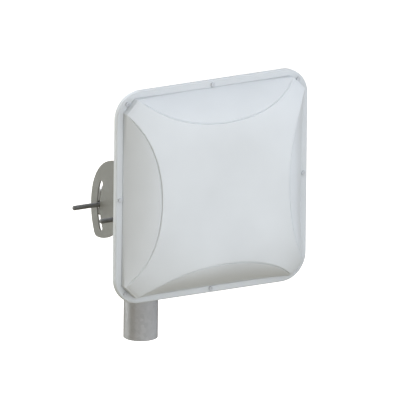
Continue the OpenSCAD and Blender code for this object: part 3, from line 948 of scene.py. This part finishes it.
make_u_bolt()
make_leg_fasteners("clamp", "clamp_nuts", "clamp_washers", ((-1, 0.35), (1, 0.1)))
make_leg_fasteners("pivot", "pivot_nut", "pivot_washer", ((-1, 0.35),))
make_saddle()


# ---------- tilt bracket ----------

SHEET_T = 2.0
FOLD_R = 5.0
BASE_CORNER = 6.0
BASE_HALF_H = 26.0
# the tilt plate's back edge: its first arc's centre, back from the mast and up from the pivot, and arcs
# that run into each other, each with its radius, the direction that it ends in and its count of points
BACK_AT = (-10.77, 3.6)
BACK = ((61.2, 15.3, 40), (80.5, -26.1, 30), (8.0, -90.5, 14))
BELLY_R = 70.1
TILT_LIMIT = 25.5
SLOT_W = 7.0
PIVOT_SLACK = 0.08
BOLT_AT = (30.0, 18.0)
BOLT_PLACES = [(sx * BOLT_AT[0], sy * BOLT_AT[1]) for sx, sy in CORNERS]
M5_R = 2.5
M5_HOLE_R = M5_R + 0.3
M5_FLATS = 8.0
M5_PITCH = 0.8
M5_DEPTH = 0.35
M5_WASHER_R = 5.0


def back_edge(lower):
    """The tilt plate's edge, from its top round the back to the straight that runs to the corner lower."""
    centre, r, start = np.array(BACK_AT), BACK[0][0], 90.0
    points = []
    for radius, stop, count in BACK:
        centre = centre + (r - radius) * heading(start)
        points += arc(centre, radius, start, stop, count)[:-1]
        r, start = radius, stop
    centre = centre + (r - BELLY_R) * heading(start)
    to = centre - lower
    slope = math.degrees(math.atan2(to[1], to[0]) - math.asin(BELLY_R / math.hypot(*to)))
    return points + arc(centre, BELLY_R, start, slope - 90, 16)


def make_bracket():
    """One sheet: the tilt plate with its pivot hole and arc slot, folded into the panel's base plate."""
    fold_y = PANEL[1] + PLATE_REAR + FOLD_R
    base_low, base_high = PANEL[2] - BASE_HALF_H, PANEL[2] + BASE_HALF_H
    middle = FOLD_R - SHEET_T / 2
    curl = middle * math.pi / 2
    start_x = EAR_X + FOLD_R

    def ear(y, z):
        """A point of the tilt plate, y back from the mast and z up from the pivot, on the flat sheet."""
        return fold_y - y, CLAMP_Z + z

    def base(x, z):
        return curl + x - start_x, z

    corner_x = BRACKET_HIGH[0] - BASE_CORNER
    loop = [base(*p) for p in arc((corner_x, base_low + BASE_CORNER), BASE_CORNER, -90, 0, 8)]
    loop += [base(*p) for p in arc((corner_x, base_high - BASE_CORNER), BASE_CORNER, 0, 90, 8)]
    loop += [(curl, base_high), (0.0, base_high)]
    loop += [ear(*p) for p in back_edge(np.array([fold_y, base_low - CLAMP_Z]))]
    loop += [(0.0, base_low), (curl, base_low)]
    pivot, reach, half_w = (-LEG_Y, 0), 2 * LEG_Y, SLOT_W / 2
    upper, lower = (pivot + reach * heading(side * TILT_LIMIT) for side in (1, -1))
    slot = arc(pivot, reach + half_w, -TILT_LIMIT, TILT_LIMIT, 33)
    slot += arc(upper, half_w, TILT_LIMIT, TILT_LIMIT + 180, 15)[1:-1]
    slot += arc(pivot, reach - half_w, TILT_LIMIT, -TILT_LIMIT, 33)
    slot += arc(lower, half_w, 180 - TILT_LIMIT, 360 - TILT_LIMIT, 15)[1:-1]
    holes = [[ear(*p) for p in slot], [ear(*p) for p in circle(pivot, ROD_R + PIVOT_SLACK)]]
    for x, y in BOLT_PLACES:
        holes.append([base(*p) for p in circle((PANEL[0] + x, PANEL[2] + y), M5_HOLE_R)])
    bm = sheet([loop] + holes, SHEET_T)
    cut_across(bm, [curl * t for t in np.linspace(0, 1, 9)])

    def bend(u, z, n):
        if u <= 0:
            return EAR_X + SHEET_T / 2 + n, fold_y - u, z
        if u <= curl:
            t = u / middle
            r = middle - n
            return start_x - r * math.cos(t), fold_y - r * math.sin(t), z
        return start_x + u - curl, fold_y - middle + n, z

    install(finish_sheet(bm, "folded_bracket", bend), "tilt_bracket")


def make_bracket_fasteners():
    heads, washers, nuts = [], [], []
    bolt_low, bolt_high = box_mm("bracket_bolts")
    washer_low, washer_high = box_mm("bracket_washers")
    nut_low, nut_high = box_mm("bracket_nuts")
    front = PLATE_LOW[1]
    for i, (x, y) in enumerate(BOLT_PLACES):
        x, z = PANEL[0] + x, PANEL[2] + y
        turn = 0.57 + 0.37 * i
        heads.append(placed(hex_block(M5_FLATS, front - bolt_low[1]), (x, front, z), OUT, turn))
        shank = threaded_rod(M5_R, 0, bolt_high[1] - front, M5_PITCH, M5_DEPTH)
        heads.append(placed(shank, (x, front, z), REAR))
        ring = washer(M5_WASHER_R, M5_R + WASHER_SLACK, washer_high[1] - washer_low[1], 0.15)
        washers.append(placed(ring, (x, washer_low[1], z), REAR))
        nut = hex_block(M5_FLATS, nut_high[1] - nut_low[1], M5_R)
        nuts.append(placed(nut, (x, nut_low[1], z), REAR, turn + 0.2))
    install(mesh_object("bracket_hex_bolts", heads, 40), "bracket_bolts")
    install(mesh_object("bracket_flat_washers", washers, 25), "bracket_washers")
    install(mesh_object("bracket_hex_nuts", nuts, 25), "bracket_nuts")


make_bracket()
make_bracket_fasteners()


# ---------- back plate and its fittings ----------

PATCH_PITCH = 62.0
PORTS = ((12.0, -108.0), (48.0, -108.0))
PORT_SQUARE = 25.4
PORT_SCREW = 9.13
VENT_AT = (85.0, -112.0)
SCREW_EDGE = HALF - 5.5
SCREW_CORNER = HALF - 14.4
M3_R = 1.5
M3_FLATS = 5.5
M3_PITCH = 0.5
M3_DEPTH = 0.25
M3_HOLE_R = M3_R + 0.2
M3_CLOSE_R = M3_R + 0.1
PORT_BORE_R = 4.5
VENT_R = 4.0
SCREW_PLACES = [(sx * SCREW_CORNER, sy * SCREW_CORNER) for sx, sy in CORNERS]
SCREW_PLACES += [(SCREW_EDGE, 0), (0, SCREW_EDGE), (-SCREW_EDGE, 0), (0, -SCREW_EDGE)]
PATCH_PLACES = [(sx * PATCH_PITCH, sy * PATCH_PITCH) for sx, sy in CORNERS]


def port_screw_places(port):
    return [(port[0] + sx * PORT_SCREW, port[1] + sy * PORT_SCREW) for sx, sy in CORNERS]


def flat_on_panel(z_middle):
    """Lays a flat sheet on the panel, at that height of its middle."""
    return lambda x, y, n: tuple(panel_point(x, y, z_middle + n))


def make_back_plate():
    half = (PLATE_HIGH[0] - PLATE_LOW[0]) / 2
    loops = [rounded_square(half, half - (HALF - CORNER_R), 14)]
    loops += [circle(p, M3_HOLE_R, 16) for p in SCREW_PLACES + PATCH_PLACES]
    loops += [circle(p, M3_CLOSE_R, 16) for port in PORTS for p in port_screw_places(port)]
    loops += [circle(p, PORT_BORE_R, 32) for p in PORTS] + [circle(VENT_AT, VENT_R, 32)]
    loops += [circle(p, M5_HOLE_R, 24) for p in BOLT_PLACES]
    thickness = PLATE_HIGH[1] - PLATE_LOW[1]
    bm = sheet(loops, thickness, 0.2)
    middle = PANEL[1] - (PLATE_HIGH[1] + PLATE_LOW[1]) / 2
    install(finish_sheet(bm, "reflector_plate", flat_on_panel(middle)), "back_plate")


COVER_HEAD_R = 2.8
# the threaded inserts: radius, height and chamfer
INSERT = (2.6, 2.4, 0.3)


def make_cover_screws():
    low, high = box_mm("radome_screws")
    head_h = PANEL[1] - low[1]
    screws, inserts = [], []
    insert_r, insert_h, insert_cut = INSERT
    for i, (x, y) in enumerate(SCREW_PLACES):
        at = panel_point(x, y, 0)
        screws.append(placed(pan_head(COVER_HEAD_R, head_h), at, OUT, 0.6 + 1.1 * i))
        screws.append(placed(threaded_rod(M3_R, 0, high[1] - PANEL[1], M3_PITCH, M3_DEPTH, 16), at, REAR))
        barrel = turned_ring(chamfered_ring(insert_r, M3_R, insert_h, insert_cut), 32)
        inserts.append(placed(barrel, panel_point(x, y, -PLATE_REAR), REAR))
    install(mesh_object("cover_pan_screws", screws, 40), "radome_screws")
    install(mesh_object("clinch_inserts", inserts, 30), "radome_inserts")


SOCKET_FLANGE_T = 3.0
SOCKET_R = 7.94
MOUTH_R = 5.6
CORE_R = 4.2
SOCKET_PITCH = 1.058
SOCKET_THREAD = 0.55
# the thread's rows start this far up the barrel and end this far below its mouth
THREAD_FROM = 1.4
THREAD_SHORT = 0.6
SOCKET_HEAD = (2.6, 1.9)


def socket_flange(port, y_middle):
    """Square flange sheet with its core hole and four screw holes."""
    square = [(port[0] + x, port[1] + y) for x, y in rounded_square(PORT_SQUARE / 2, 2.0)]
    loops = [square, circle(port, CORE_R, 40)]
    loops += [circle(p, M3_CLOSE_R, 20) for p in port_screw_places(port)]
    return finish_sheet(sheet(loops, SOCKET_FLANGE_T, 0.3), "flange", flat_on_panel(PANEL[1] - y_middle))


def socket_barrel(length):
    """Threaded tube, open at its outer end."""
    reshape = thread_radius(SOCKET_R, SOCKET_THREAD, SOCKET_PITCH, THREAD_FROM, length - THREAD_SHORT)
    turns = np.arange(THREAD_FROM, length - THREAD_SHORT, SOCKET_PITCH / 8)
    rows = ring_rows([(SOCKET_R, z) for z in (0.0, THREAD_FROM - 0.1, *turns)], 64, reshape)
    mouth = [(SOCKET_R - 0.1, length - 0.5), (SOCKET_R - 0.6, length), (MOUTH_R + 0.5, length),
             (MOUTH_R, length - 0.5), (MOUTH_R, 0.05), (MOUTH_R + 0.6, 0.0)]
    return skin(rows + ring_rows(mouth, 64), closed=True)


def socket_contact(out):
    """Pin with a socket drilled into its end, from below the panel to a height out."""
    profile = [(1.5, -4.0), (1.5, out - 0.3), (1.2, out), (0.85, out), (0.8, out - 0.2), (0.8, out - 3.0)]
    return skin(ring_rows(profile, 32), first_pole=True, last_pole=True)


def make_ports():
    """Two flange sockets: flange, threaded barrel with an open mouth, insulator and centre contact."""
    low, high = box_mm("rf_connectors")
    pin_high = box_mm("connector_pins")[1]
    root_y = low[1] + SOCKET_FLANGE_T
    core = [(M3_R, -SOCKET_FLANGE_T), (CORE_R, -SOCKET_FLANGE_T), (CORE_R, 0.0), (CORE_R - 0.3, 0.3),
            (2.9, 0.3), (2.6, 0.02), (M3_R, 0.02)]
    flanges, barrels, insulators, pins, screws = [], [], [], [], []
    for i, port in enumerate(PORTS):
        flanges.append(socket_flange(port, low[1] + SOCKET_FLANGE_T / 2))
        root = (PANEL[0] + port[0], root_y, PANEL[2] + port[1])
        barrels.append(placed(socket_barrel(high[1] - root_y), root, REAR))
        insulators.append(placed(turned_ring(core, 48), root, REAR))
        pins.append(placed(socket_contact(pin_high[1] - root_y), root, REAR))
        for (sx, sy), (x, y) in zip(CORNERS, port_screw_places(port)):
            at = (PANEL[0] + x, root_y, PANEL[2] + y)
            screws.append(placed(pan_head(*SOCKET_HEAD), at, REAR, 0.9 * i + 0.7 * sx + 0.3 * sy))
    install(mesh_object("socket_barrels", barrels, 50), "rf_connectors")
    for letter, flange in zip("ab", flanges):
        flange.name = f"socket_flange_{letter}"
        install(flange, "rf_connectors")
    install(mesh_object("socket_insulators", insulators, 40), "connector_insulators")
    install(mesh_object("socket_contacts", pins, 40), "connector_pins")
    install(mesh_object("socket_screws", screws, 40), "connector_screws")


VENT_HEAD_R = 7.0
VENT_RIBS = 18
VENT_RIB_DEEP = 0.25


def make_vent():
    """Push-in plug with a ribbed rim and a dished top."""
    low, high = box_mm("vent_plug")
    head = high[1] - PLATE_HIGH[1]
    profile = [(VENT_HEAD_R - 0.4, 0), (VENT_HEAD_R, 0.4), (VENT_HEAD_R, head - 1.0), (6.7, head - 0.3),
               (6.0, head), (4.6, head), (4.2, head - 0.5), (2.4, head - 0.5), (2.0, head)]

    def grip(r, z, a):
        rib = VENT_RIB_DEEP * (0.5 + 0.5 * np.cos(VENT_RIBS * a))
        return r - (rib if r > VENT_HEAD_R - 0.1 else 0)

    rows = ring_rows(profile, 96, grip)
    at = (PANEL[0] + VENT_AT[0], PLATE_HIGH[1], PANEL[2] + VENT_AT[1])
    parts = [placed(skin(rows, first_pole=True, last_pole=True), at, REAR)]
    parts.append(placed(rod(VENT_R, 0, at[1] - low[1], 0.4, 40), at, OUT))
    install(mesh_object("vent_moulding", parts, 35), "vent_plug")


def make_patch_nuts():
    low, high = box_mm("patch_nuts")
    nuts = []
    for i, (x, y) in enumerate(PATCH_PLACES):
        at = (PANEL[0] + x, low[1], PANEL[2] + y)
        nuts.append(placed(hex_block(M3_FLATS, high[1] - low[1], M3_R), at, REAR, 0.25 * i))
    install(mesh_object("patch_hex_nuts", nuts, 25), "patch_nuts")


make_back_plate()
make_cover_screws()
make_ports()
make_vent()
make_patch_nuts()


# ---------- CAD nodes that stay: they lie inside the case, and get softened edges and a finish ----------

SOFT_EDGE = 0.12


def finish_cad_nodes():
    for name, obj in NODES.items():
        if obj.hide_render:
            continue
        obj.data.materials.clear()
        obj.data.materials.append(MATERIALS[SLOT_OF[name]])
        soften = obj.modifiers.new("soft_edges", "BEVEL")
        soften.width = SOFT_EDGE * MM
        soften.segments = 2
        soften.limit_method = "ANGLE"
        soften.angle_limit = math.radians(50)


finish_cad_nodes()


# ---------- stage and light ----------

FLOOR_Z = -0.5
STAGE_R = 9.0


def make_stage():
    """White floor that runs up into a white dome. It is seen, but casts no light or shade on the antenna."""
    mesh = bpy.data.meshes.new("stage")
    bm = bmesh.new()
    bmesh.ops.create_uvsphere(bm, u_segments=64, v_segments=32, radius=STAGE_R)
    for v in bm.verts:
        v.co.z = max(v.co.z, FLOOR_Z)
    bm.to_mesh(mesh)
    bm.free()
    floor = link("stage", mesh)
    mat, _, _, bsdf, _ = shader("stage", (0.9, 0.9, 0.9), 0.9)
    bsdf.inputs["Emission Color"].default_value = (1, 1, 1, 1)
    bsdf.inputs["Emission Strength"].default_value = 1.0
    mesh.materials.append(mat)
    floor.visible_diffuse = False
    floor.visible_glossy = False
    floor.visible_shadow = False


WORLD_COLOUR = (1.0, 0.85, 0.54)
WORLD_STRENGTH = 0.245


def make_world():
    world = bpy.data.worlds.new("studio")
    bpy.context.scene.world = world
    world.use_nodes = True
    background = world.node_tree.nodes["Background"]
    background.inputs["Color"].default_value = (*WORLD_COLOUR, 1)
    background.inputs["Strength"].default_value = WORLD_STRENGTH


SOFTBOX_AWAY = 2.2
SOFTBOX_SIZE = 1.6
# each softbox: the side of the panel that it stands on, its power and its colour
SOFTBOXES = {
    "high_front": ((0, -1, 1), 19.4, (0.91, 0.93, 1.0)),
    "front": ((0, -1, 0), 11.8, (0.80, 0.88, 1.0)),
    "front_right": ((1, -1, 0), 15.3, (0.84, 0.89, 1.0)),
    "front_left": ((-1, -1, 0), 12.3, (0.91, 0.93, 1.0)),
    "right": ((1, 0, 0), 7.5, (0.60, 0.73, 1.0)),
    "top": ((0, 0, 1), 9.5, (0.51, 0.68, 1.0)),
    "rear_left": ((-1, 1, 0), 24.0, (0.90, 0.95, 1.0)),
    "high_rear": ((0, 1, 1), 28.0, (0.91, 0.93, 1.0)),
}


def softbox(name, direction, power, colour):
    """Square area light that faces the panel from a direction."""
    data = bpy.data.lights.new(name, "AREA")
    data.shape = "SQUARE"
    data.size = SOFTBOX_SIZE
    data.energy = power
    data.color = colour
    lamp = bpy.data.objects.new(name, data)
    bpy.context.scene.collection.objects.link(lamp)
    d = Vector(direction).normalized()
    lamp.location = Vector(PANEL * MM) + d * SOFTBOX_AWAY
    lamp.rotation_mode = "QUATERNION"
    lamp.rotation_quaternion = (-d).to_track_quat("-Z", "Y")


bpy.context.scene.view_settings.view_transform = "Standard"
make_stage()
make_world()
for name, (direction, power, colour) in SOFTBOXES.items():
    softbox(name, direction, power, colour)
